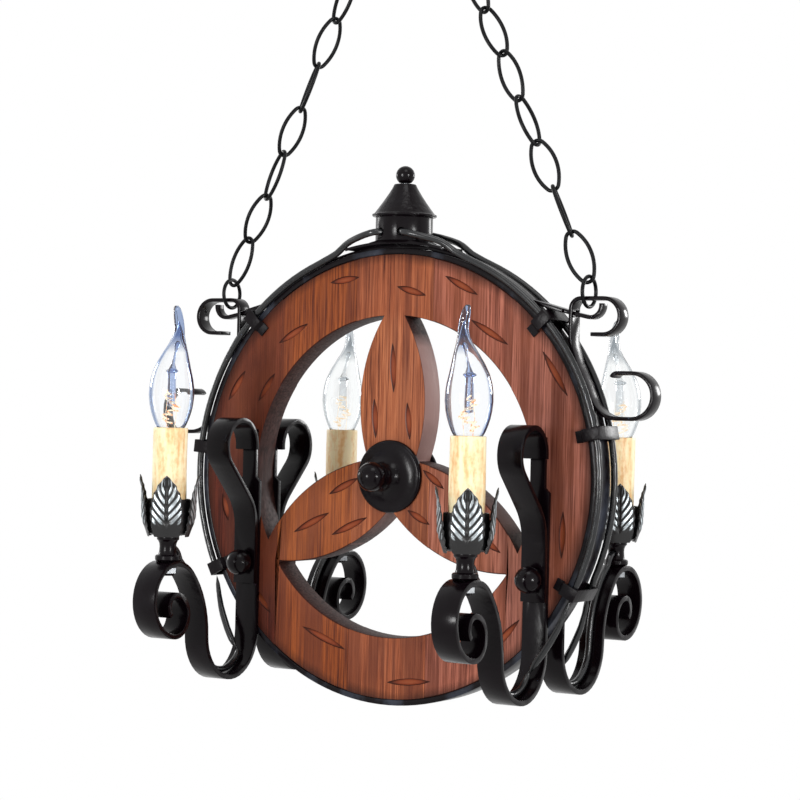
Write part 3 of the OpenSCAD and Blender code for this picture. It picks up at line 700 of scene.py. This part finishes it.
@dataclass
class CarvedWheel:
    """The wooden wheel: five glued boards with chiselled marks on both faces."""

    radius_mm = 174.0
    thick_mm = 24.0
    gouge_wide_mm = 5.6
    gouge_deep_mm = 1.7
    edge_mm = 1.1  # rounding of the outer edges
    joint_mm = 0.2  # rounding along a glued joint
    joints_at_mm = (35.0, 105.0)  # how far the joints lie to either side of the middle
    reach = 1.12  # a cutter stands a little proud, so that it leaves a sharp lip

    # Each mark: its middle (x, z) from the wheel's centre, its length and its slope in degrees.
    marks: tuple[tuple[float, float, float, float], ...] = (
        (-94.0, 111.5, 29.0, 30.0), (-147.5, 69.0, 27.0, 57.0), (-118.5, 68.0, 25.0, 56.0),
        (-46.5, 154.0, 25.0, 9.0), (15.0, 145.0, 25.0, -15.0), (59.5, 149.0, 30.0, -27.0),
        (85.0, 113.0, 35.0, -30.0), (142.0, 82.0, 37.0, -57.0), (151.0, -39.0, 33.0, -91.0),
        (-156.0, -30.0, 21.0, -74.0), (-58.5, -130.0, 40.0, -21.0), (20.5, -159.0, 36.0, 5.0),
        (0.0, 85.0, 36.0, -87.0), (-15.5, 45.0, 29.0, -86.0), (15.0, 43.5, 27.0, -84.0),
        (-43.0, -9.0, 28.0, 27.0), (-72.5, -39.0, 34.0, 27.0), (-37.0, -40.5, 33.0, 25.0),
        (38.5, -1.0, 22.0, -36.0), (26.0, -31.0, 21.0, -27.0), (88.0, -48.0, 24.0, -32.0),
        (104.0, -118.0, 34.0, 47.0), (-119.0, -103.0, 26.0, -48.0), (61.0, -52.0, 26.0, -30.0))

    def gouge(self, x: float, z: float, length: float, slope: float, back: bool) -> Shape:
        """A pointed lens-shaped cutter that lies in one face of the wheel.

        Args:
            x: Middle of the mark, in millimetres right of the wheel's centre.
            z: Middle of the mark, in millimetres above the wheel's centre.
            length: Length of the mark.
            slope: Its slope in degrees.
            back: True for the wheel's back face.

        Returns:
            The cutter's mesh.
        """
        shape = bmesh.new()
        bmesh.ops.create_uvsphere(shape, u_segments=20, v_segments=22, radius=1.0)
        for vert in shape.verts:
            thin = math.sqrt(max(0.0, 1.0 - vert.co.z**2))
            vert.co.x *= thin
            vert.co.y *= thin
        face = (1.0 if back else -1.0) * self.thick_mm / 2.0
        size = Matrix.Diagonal((mm(self.gouge_wide_mm / 2.0), mm(self.gouge_deep_mm),
                                mm(length / 2.0 * self.reach), 1.0))
        turn = Matrix.Rotation(math.radians(90.0 - slope), 4, "Y")
        place = Matrix.Translation(WHEEL_CENTRE + Vector((mm(x), mm(face), mm(z))))
        bmesh.ops.transform(shape, matrix=place @ turn @ size, verts=shape.verts)
        return shape

    def cutters(self) -> SceneObject:
        """All the marks' cutters as one hidden helper object."""
        shape = joined(self.gouge(*mark, back) for mark in self.marks for back in (False, True))
        mesh = bpy.data.meshes.new("gouges")
        shape.to_mesh(mesh)
        shape.free()
        helper = bpy.data.objects.new("gouges", mesh)
        bpy.context.scene.collection.objects.link(helper)
        return helper

    def on_joint(self, edge: bmesh.types.BMEdge) -> bool:
        """Tells whether an edge lies along a glued joint between two boards."""
        near = mm(0.05)
        return any(all(abs(abs(v.co.x) - mm(at)) < near for v in edge.verts) for at in self.joints_at_mm)

    def carve(self, board: SceneObject, cutter: SceneObject) -> None:
        """Takes the cutters out of a board, and keeps its edges crisp."""
        cut = board.modifiers.new("gouges", "BOOLEAN")
        cut.operation = "DIFFERENCE"
        cut.solver = "MANIFOLD"
        cut.object = cutter
        graph = bpy.context.evaluated_depsgraph_get()
        carved = bpy.data.meshes.new_from_object(board.evaluated_get(graph))
        board.modifiers.clear()
        material = board.data.materials[0]
        plain, name = board.data, board.data.name
        board.data = carved
        bpy.data.meshes.remove(plain)
        carved.name = name
        carved.materials.clear()
        carved.materials.append(material)

    def build(self, shop: Shop) -> None:
        """Builds the five boards."""
        woods = {
            # The outer left board's much darker tones are painted shade: that side of the wheel lies in
            # shadow.
            "board_outer_left": StainedPine("#6c3222", "#481d13", (3.1, 0.4, 1.0)),
            "board_left": StainedPine("#9f5628", "#763a1c", (7.7, 2.0, 4.2)),
            "board_centre": StainedPine("#b46d48", "#8b4b2f", (0.0, 0.0, 0.0)),
            "board_right": StainedPine("#bb7863", "#905544", (5.3, 1.2, 8.1)),
            "board_outer_right": StainedPine("#b67867", "#8d594b", (9.4, 3.3, 2.6)),
        }
        cutter = self.cutters()
        for node, wood in woods.items():
            shape = shop.merged(node)
            round_edges(shape, self.edge_mm, skip=self.on_joint)
            round_edges(shape, self.joint_mm, steps=1)
            board = shop.piece(node.replace("board", "carved_board"), shape, node,
                               wood.make("stained_" + node))
            self.carve(board, cutter)
        bpy.data.objects.remove(cutter)


# ---- the ironwork ----


@dataclass
class Ironwork:
    """Everything forged or turned in iron, with its edges eased."""

    # Reach of the easing in millimetres for each kind of piece.
    eased: tuple[tuple[str, float, Finish], ...] = (
        ("tyre", 0.7, Finish.TYRE), ("hub_plate_front", 0.6, Finish.IRON),
        ("hub_plate_back", 0.6, Finish.IRON),
        *((bar + corner, 0.7, Finish.IRON) for bar in ("arm_", "scroll_")
          for corner in ("front_left", "front_right", "back_left", "back_right")),
        ("crown_strap", 0.5, Finish.IRON), ("side_strap_left", 0.5, Finish.IRON),
        ("side_strap_right", 0.5, Finish.IRON), ("saddle", 0.6, Finish.IRON),
        ("canister", 0.5, Finish.IRON), ("canister_lid", 0.5, Finish.LID),
        ("cable_clips", 0.3, Finish.CLIP), ("spindles", 0.25, Finish.IRON))
    kept: tuple[tuple[str, Finish], ...] = (
        ("hub_bolt", Finish.IRON), ("hub_nut", Finish.IRON), ("ball_bolts", Finish.IRON),
        ("ball_nuts", Finish.IRON), ("spindle_nuts", Finish.ZINC), ("finial_stem", Finish.ZINC),
        ("finial_ball", Finish.IRON), ("terminal_block", Finish.MOULDING),
        ("lampholders", Finish.MOULDING),
        ("hook_rings", Finish.CHAIN), ("chain_left", Finish.CHAIN), ("chain_right", Finish.CHAIN),
        ("top_links", Finish.CHAIN), ("hanging_ring", Finish.CHAIN))

    def build(self, shop: Shop) -> None:
        """Builds the eased pieces, and dresses the rest."""
        for node, reach, finish in self.eased:
            shop.eased(node, "forged_" + node, finish, reach)
        for node, finish in self.kept:
            shop.dress(node, finish)


# ---- the candle lamps ----


@dataclass
class CandleLamp:
    """One candle: leaf cup, wax sleeve, bulb with its filament, and the cable that feeds it.

    Attributes:
        side: -1 for left and 1 for right.
        depth: -1 for front and 1 for back.
    """

    side: int
    depth: int
    out_mm = 131.0
    away_mm = 124.0
    seat_mm = -68.0
    spindle_mm = 20.0
    cup_mm = 46.0
    bowl_mm = 16.8
    leaf_turn = 31.0  # degrees, so that each cup shows a leaf to the front right
    leaf_ribs = 7.5
    rib_slant = 2.3  # how many ribs a rib rises from the midrib to the leaf's edge
    # Half width and radius of a leaf, in millimetres, at shares of its height.
    leaf_halves = ((0.0, 10.0), (0.22, 12.8), (0.42, 13.3), (0.64, 11.6), (0.82, 7.4), (0.94, 3.0),
                   (1.0, 0.0))
    leaf_section = ((0.0, 15.9), (0.14, 18.2), (0.34, 20.1), (0.6, 20.6), (0.82, 20.6), (1.0, 22.2))
    sleeve_radius_mm = 13.5
    sleeve_wall_mm = 1.5
    sleeve_low_mm = 23.3
    sleeve_high_mm = 102.3
    bulb_mm = 35.0
    glass_wall_mm = 0.8
    lean_mm = 6.2  # how far the bulb's neck leans inwards
    lean_from_mm = 40.0
    lean_over_mm = 38.0
    curl_mm = 3.4  # how far its tip curls back
    curl_from_mm = 76.0
    curl_over_mm = 18.0

    @property
    def corner(self) -> str:
        """The lamp's corner, as the nodes name it."""
        return ("front_" if self.depth < 0 else "back_") + ("left" if self.side < 0 else "right")

    def at_seat(self, shape: Shape, up_mm: float = 0.0) -> Shape:
        """Moves a mesh from the origin onto the lamp's seat, and turns it to face its own corner.

        Args:
            shape: Mesh drawn for the front right lamp.
            up_mm: Height above the seat.

        Returns:
            The same mesh.
        """
        place = Matrix.Translation(WHEEL_CENTRE + Vector(
            (mm(self.side * self.out_mm), mm(self.depth * self.away_mm), mm(self.seat_mm + up_mm))))
        turn = Matrix.Diagonal((self.side, -self.depth, 1.0, 1.0))
        bmesh.ops.transform(shape, matrix=place @ turn, verts=shape.verts)
        if self.side * -self.depth < 0:
            bmesh.ops.reverse_faces(shape, faces=shape.faces)
        return shape

    def aside(self, height: float) -> float:
        """How far the bulb's middle has leant aside at a height, both in metres."""
        lean = min(1.0, max(0.0, (height - mm(self.lean_from_mm)) / mm(self.lean_over_mm)))
        return mm(self.lean_mm) * lean * lean * (3.0 - 2.0 * lean)

    def leaf(self, turn: float) -> Shape:
        """One upright leaf with a sunk midrib and herringbone ribs that run up to its scalloped edge.

        Args:
            turn: Its place round the cup, in degrees.

        Returns:
            The leaf's mesh, about the cup's own axis.
        """
        across, along = 40, 84
        shape = bmesh.new()
        bmesh.ops.create_grid(shape, x_segments=across, y_segments=along, size=1.0)
        raised = shape.verts.layers.float.new(Finish.LEAF.value.rib)
        for vert in shape.verts:
            u, v = vert.co.x, (vert.co.y + 1.0) / 2.0
            rib = math.cos(math.tau * (v * self.leaf_ribs - self.rib_slant * abs(u)))
            half = max(0.05, between(self.leaf_halves, v)) * (1.0 + 0.05 * rib * abs(u))
            out = between(self.leaf_section, v)
            height = self.cup_mm * v
            inside = min(1.0, max(0.0, (v - 0.14) / 0.1)) * min(1.0, max(0.0, (1.0 - v) / 0.05))
            vein = math.exp(-((u * half / 1.2) ** 2))
            lift = inside * (0.5 + 0.5 * rib) ** 0.7 * (1.0 - vein) * min(1.0, 7.0 * (1.0 - abs(u)))
            vert[raised] = lift
            out += 1.0 * lift - 0.7 * vein * inside + 0.6 * abs(u) ** 3
            angle = math.radians(turn) + u * half / out
            vert.co = (mm(out * math.cos(angle)), mm(out * math.sin(angle)), mm(height))
        bmesh.ops.solidify(shape, geom=shape.faces, thickness=mm(1.3))
        bmesh.ops.recalc_face_normals(shape, faces=shape.faces)
        return shape

    def cup(self) -> Shape:
        """The cup: a turned bowl with four leaves round it."""
        rim, wall = 0.6 * self.cup_mm, 1.6
        base = self.bowl_mm - 2.4
        bowl = spun([(5.2, 0.0), (base - 1.0, 0.0), (base, 0.7), (base + 1.2, 2.2),
                     (self.bowl_mm - 0.5, 6.0), (self.bowl_mm, 12.0), (self.bowl_mm, rim - 0.8),
                     (self.bowl_mm - 0.7, rim), (self.bowl_mm - wall, rim),
                     (self.bowl_mm - wall - 0.6, 8.0), (self.bowl_mm - 3.0, 3.0), (5.2, 3.0)])
        turned = self.leaf_turn if self.side * -self.depth > 0 else -self.leaf_turn
        return joined([bowl] + [self.leaf(turned + turn) for turn in (0.0, 90.0, 180.0, 270.0)])

    def sleeve(self) -> Shape:
        """The wax tube, with a soft uneven skin and a rounded lip."""
        outer, inner = self.sleeve_radius_mm, self.sleeve_radius_mm - self.sleeve_wall_mm
        tall, rings = self.sleeve_high_mm - self.sleeve_low_mm, 40
        side = [(outer - 0.1, tall * k / rings) for k in range(rings)]
        lip = [(outer - 0.1, tall - 0.7), (outer - 0.5, tall), (inner + 0.3, tall), (inner, tall - 0.5)]
        shape = spun([(inner, 0.0)] + side + lip, 96)

        def waxy(point: Vector) -> Vector:
            """Pushes the skin in and out by runs of wax."""
            radius = math.hypot(point.x, point.y)
            if radius < mm(inner + 0.2):
                return point
            own = 7.0 * self.side + 3.0 * self.depth  # so that no two sleeves match
            seed = Vector((point.x * 130.0, point.y * 130.0, point.z * 26.0 + own))
            push = mm(0.45) * (noise.noise(seed) - 0.35)
            return Vector((point.x * (1.0 + push / radius), point.y * (1.0 + push / radius), point.z))

        bent(shape, waxy)
        return shape

    def glass(self) -> Shape:
        """The bulb's glass: a flame shape whose tip leans over in a soft double bend."""
        half = self.bulb_mm / 2.0
        outside = [(6.7, -8.0), (7.4, -5.2), (9.2, -2.0), (10.9, 0.6), (12.4, 3.4), (14.0, 7.4),
                   (15.6, 12.4), (16.8, 18.0), (half, 25.0), (17.3, 31.0), (16.4, 37.5), (14.6, 44.5),
                   (12.2, 51.5), (9.4, 58.5), (6.6, 65.0), (4.6, 71.0), (3.9, 77.0), (3.75, 83.0),
                   (3.4, 88.5), (2.7, 92.0), (1.5, 93.8)]
        inside = [(r - self.glass_wall_mm, z) for r, z in outside if z < 62.0]
        inside += [(5.4, 65.0), (3.5, 69.0), (2.2, 73.0), (1.2, 77.0), (0.5, 81.0)]
        shape = spun(outside + [(0.0, 94.0), (0.0, 83.0)] + inside[::-1], 56)

        def leaning(point: Vector) -> Vector:
            """Leans the neck inwards, and curls the tip back."""
            curl = max(0.0, (point.z - mm(self.curl_from_mm)) / mm(self.curl_over_mm))
            aside = self.aside(point.z) - mm(self.curl_mm) * curl**1.4
            return Vector((point.x - aside, point.y, point.z))

        bent(shape, leaning)
        return shape

    def stem(self) -> Shape:
        """The glass mount inside the bulb, with its crosspiece."""
        rod = spun([(0.0, 16.0), (3.2, 17.0), (3.4, 24.0), (3.0, 36.0), (3.5, 42.0), (3.6, 44.0),
                    (2.4, 46.5), (1.2, 50.0), (0.9, 56.0), (1.3, 61.0), (2.2, 64.5), (1.2, 66.6),
                    (0.0, 67.0)], 24)

        def upright(point: Vector) -> Vector:
            """Follows the glass's lean."""
            return Vector((point.x - self.aside(point.z), point.y, point.z))

        bent(rod, upright)
        bar = bmesh.new()
        bmesh.ops.create_uvsphere(bar, u_segments=20, v_segments=12, radius=1.0)
        size = Matrix.Diagonal((mm(5.6), mm(1.5), mm(1.7), 1.0))
        bmesh.ops.transform(bar, matrix=Matrix.Translation((0, 0, mm(43.6))) @ size, verts=bar.verts)
        return joined([rod, bar])

    def filament(self) -> Shape:
        """The lit wire: curls that climb in two loops, and two lead wires."""
        points, curls = 200, 8.0
        coil = []
        for k in range(points + 1):
            t = k / points
            around, sweep = math.tau * curls * t, math.tau * 1.5 * t
            swell = 2.1 + 0.8 * math.sin(math.pi * t)
            coil.append((6.0 * math.sin(sweep) * (1.0 - 0.45 * t) + swell * math.cos(around),
                         1.4 * math.cos(sweep) + swell * math.sin(around),
                         3.0 + 25.0 * t + 0.9 * math.cos(around)))
        leads = [wire([(x, 0.0, -7.0), (x * 1.05, 0.0, 2.0), (x * 1.4, 0.0, 12.0),
                       (x * 0.8, 0.0, 28.0)], 0.5) for x in (-3.6, 3.6)]
        return joined([wire(coil, 1.3)] + leads)

    def build(self, shop: Shop) -> None:
        """Builds the lamp's pieces on their nodes."""
        front = self.depth < 0
        top, corner = self.sleeve_high_mm, self.corner
        shop.piece("leaf_cup_" + corner, self.at_seat(self.cup(), self.spindle_mm), "leaf_cups",
                   Finish.LEAF.material(), 50.0)
        for name, draw, up, node, finish in (
                ("wax_sleeve_", self.sleeve, self.sleeve_low_mm, "sleeve_", Finish.WAX),
                ("blown_glass_", self.glass, top, "glass_",
                 Finish.GLASS if front else Finish.BACK_GLASS),
                ("glass_stem_", self.stem, top, "filament_",
                 Finish.STEM if front else Finish.BACK_STEM),
                ("lit_filament_", self.filament, top, "filament_",
                 Finish.WIRE if front else Finish.BACK_WIRE)):
            shop.piece(name + corner, self.at_seat(draw(), up), node + corner, finish.material(), 60.0)
        shop.dress("bulb_cap_" + self.corner, Finish.BRASS)
        self.cable(shop)

    def cable(self, shop: Shop) -> None:
        """Rounds the cable's sides off, along the very route of its solid."""
        shape = shop.merged("cable_" + self.corner)
        made = shop.piece("round_cable_" + self.corner, shape, "cable_" + self.corner,
                          Finish.SHEATH.material(), 80.0)
        finer = made.modifiers.new("round", "SUBSURF")
        finer.levels = finer.render_levels = 1


# ---- the studio ----


@dataclass
class Studio:
    """Camera, floor, backdrop and lamps.

    Attributes:
        camera_mm: The camera's place from the wheel's centre.
        yaw, pitch, roll: Where it looks, in degrees.
        focal_px: Its focal length in pixels of the photograph.
        sensor_mm: Width of its sensor.
        lamps: Each lamp's name, turn, rise, size, power and distance, as lamp() takes them.
    """

    camera_mm: tuple[float, float, float] = (971.1, -1632.9, 48.0)
    yaw: float = 30.745
    pitch: float = 0.361
    roll: float = 1.35
    focal_px: float = 2417.7
    sensor_mm: float = 36.0
    floor_drop: float = 1.15  # how far the floor lies below the wheel's centre
    floor_radius: float = 2.6
    floor_lift: float = 0.7  # share of paper white in the floor where it is looked at
    room_light: float = 0.53  # the white room's level as it lights the object
    lamps: tuple[tuple[str, float, float, float, float, float], ...] = (
        ("left_lamp", -38.0, 4.0, 0.4, 23.0, 2.3), ("right_lamp", 38.0, 4.0, 0.4, 23.0, 2.3),
        ("top_lamp", 10.0, 62.0, 0.8, 7.0, 2.0), ("back_right_lamp", 128.0, 12.0, 0.5, 12.0, 2.2),
        ("back_left_lamp", -128.0, 12.0, 0.5, 10.0, 2.2))

    def shoot(self) -> None:
        """Sets the camera up."""
        yaw, pitch, roll = (math.radians(a) for a in (self.yaw, self.pitch, self.roll))
        look = Vector((-math.sin(yaw) * math.cos(pitch), math.cos(yaw) * math.cos(pitch),
                       math.sin(pitch)))
        level = Vector((math.cos(yaw), math.sin(yaw), 0.0))
        above = level.cross(look)
        right = level * math.cos(roll) + above * math.sin(roll)
        up = above * math.cos(roll) - level * math.sin(roll)
        data = bpy.data.cameras.new("camera")
        data.sensor_width = self.sensor_mm
        data.lens = self.sensor_mm * self.focal_px / PHOTO_SIDE
        camera = bpy.data.objects.new("camera", data)
        bpy.context.scene.collection.objects.link(camera)
        place = Matrix.Translation(WHEEL_CENTRE + Vector(mm(c) for c in self.camera_mm))
        camera.matrix_world = place @ Matrix((right, up, -look)).transposed().to_4x4()
        bpy.context.scene.camera = camera

    def lamp(self, name: str, turn: float, rise: float, size: float, watts: float,
             far: float) -> None:
        """Hangs a soft lamp that looks at the wheel.

        Args:
            name: The lamp's name.
            turn: Its angle round the wheel from the camera's line, in degrees, to the right.
            rise: Its angle above the wheel.
            size: Side of its square face.
            watts: Its power.
            far: Its distance from the wheel's centre.
        """
        data = bpy.data.lights.new(name, "AREA")
        data.shape = "SQUARE"
        data.size = size
        data.energy = watts
        lamp = bpy.data.objects.new(name, data)
        bpy.context.scene.collection.objects.link(lamp)
        around = math.radians(self.yaw + turn)
        high = math.radians(rise)
        way = Vector((math.sin(around) * math.cos(high), -math.cos(around) * math.cos(high),
                      math.sin(high)))
        lamp.location = WHEEL_CENTRE + way * far
        lamp.rotation_euler = way.to_track_quat("Z", "Y").to_euler()

    def surround(self) -> None:
        """Makes a room that looks white, and that lights the object at a lower level."""
        world = bpy.data.worlds.new("room")
        bpy.context.scene.world = world
        world.use_nodes = True
        tree = world.node_tree
        tree.nodes.clear()
        level = mix(tree, looked_at(tree), (self.room_light,) * 3 + (1.0,), WHITE)
        sky = add_node(tree, "Background", Color=level, Strength=1.0)
        output = tree.nodes.new("ShaderNodeOutputWorld")
        tree.links.new(sky.outputs["Background"], output.inputs["Surface"])

    def floor(self) -> None:
        """Lays a plain pale floor under the lamp."""
        shape = bmesh.new()
        bmesh.ops.create_circle(shape, cap_ends=True, segments=96, radius=self.floor_radius)
        bmesh.ops.translate(shape, verts=shape.verts,
                            vec=WHEEL_CENTRE - Vector((0.0, 0.0, self.floor_drop)))
        mesh = bpy.data.meshes.new("floor")
        shape.to_mesh(mesh)
        shape.free()
        material, tree = new_material("pale_floor")
        shader = add_node(tree, "BsdfPrincipled", Base_Color=linear("#f4f3f1"), Roughness=0.8)
        # What the lamps leave grey is lifted to the paper's white, and the lamp's shadow stays.
        paper = add_node(tree, "Emission", Color=WHITE, Strength=1.0)
        lift = sums(tree, "MULTIPLY", looked_at(tree), self.floor_lift)
        blend = add_node(tree, "MixShader", Fac=lift, in1=shader.outputs["BSDF"],
                         in2=paper.outputs["Emission"])
        show(tree, blend.outputs["Shader"])
        mesh.materials.append(material)
        floor = bpy.data.objects.new("floor", mesh)
        bpy.context.scene.collection.objects.link(floor)

    def build(self) -> None:
        """Sets up the whole studio."""
        self.shoot()
        self.surround()
        self.floor()
        for settings in self.lamps:
            self.lamp(*settings)
        bpy.context.scene.view_settings.view_transform = "Standard"


def main() -> None:
    """Builds the chandelier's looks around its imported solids."""
    logging.basicConfig(level=logging.INFO, format="%(name)s: %(message)s")
    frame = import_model()
    shop = Shop.opened(frame)
    Studio().build()
    CarvedWheel().build(shop)
    Ironwork().build(shop)
    for side in (-1, 1):
        for depth in (-1, 1):
            CandleLamp(side, depth).build(shop)


if __name__ == "__main__":
    main()
